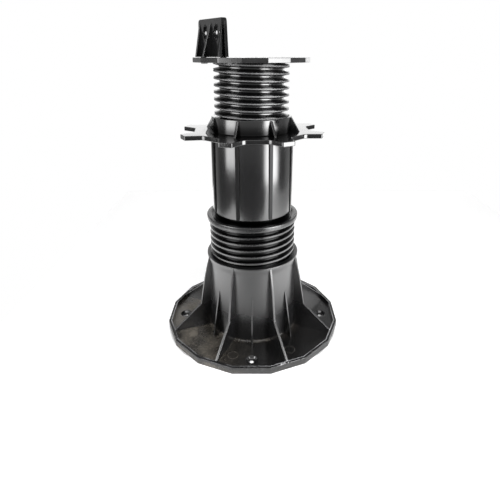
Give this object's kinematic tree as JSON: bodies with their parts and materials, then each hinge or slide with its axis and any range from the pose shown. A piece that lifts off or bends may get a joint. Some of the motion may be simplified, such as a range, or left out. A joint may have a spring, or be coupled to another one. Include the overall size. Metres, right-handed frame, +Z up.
{
  "type": "adjustable decking pedestal",
  "caption": "Height-adjustable plastic decking support: ribbed base, screwed sleeve, plain tube, star-shaped turning ring and a threaded disc head with an upright joist tab.",
  "frame": {"origin": "on the screw axis, at ground level under the base", "axes": "+Z up along the screw axis, the side that the picture shows faces -Y, +X to its right"},
  "size_m": [0.1438, 0.1438, 0.2445],
  "materials": {
    "base_plastic": "satin, dusty in the corners of the plate",
    "sleeve_plastic": "satin",
    "tube_plastic": "satin with bright streaks",
    "ring_plastic": "glossy",
    "head_plastic": "semi-gloss"
  },
  "bodies": {
    "base": {"base": "base_plastic"},
    "tube": {"tube": "tube_plastic"},
    "threaded_sleeve": {"threaded_sleeve": "sleeve_plastic"},
    "star_ring": {"star_ring": "ring_plastic"},
    "head": {"head": "head_plastic", "joist_tab": "head_plastic"}
  },
  "joints": [
    {"name": "tube_slide", "type": "slide", "parent": "base", "child": "tube", "axis": [0, 0, 1], "range_m": [-0.0297, 0]},
    {"name": "sleeve_turn", "type": "hinge", "parent": "tube", "child": "threaded_sleeve", "pos_m": [0, 0, 0.0968], "axis": [0, 0, 1], "range_deg": [-2016, 0]},
    {"name": "head_slide", "type": "slide", "parent": "tube", "child": "head", "axis": [0, 0, 1], "range_m": [-0.0378, 0]},
    {"name": "ring_turn", "type": "hinge", "parent": "tube", "child": "star_ring", "pos_m": [0, 0, 0.1644], "axis": [0, 0, 1], "range_deg": [-2664, 0]}
  ],
  "couplings": [
    {"joint": "tube_slide", "follows": "sleeve_turn", "m_per_rad": 0.00084352},
    {"joint": "head_slide", "follows": "ring_turn", "m_per_rad": 0.00081169}
  ]
}
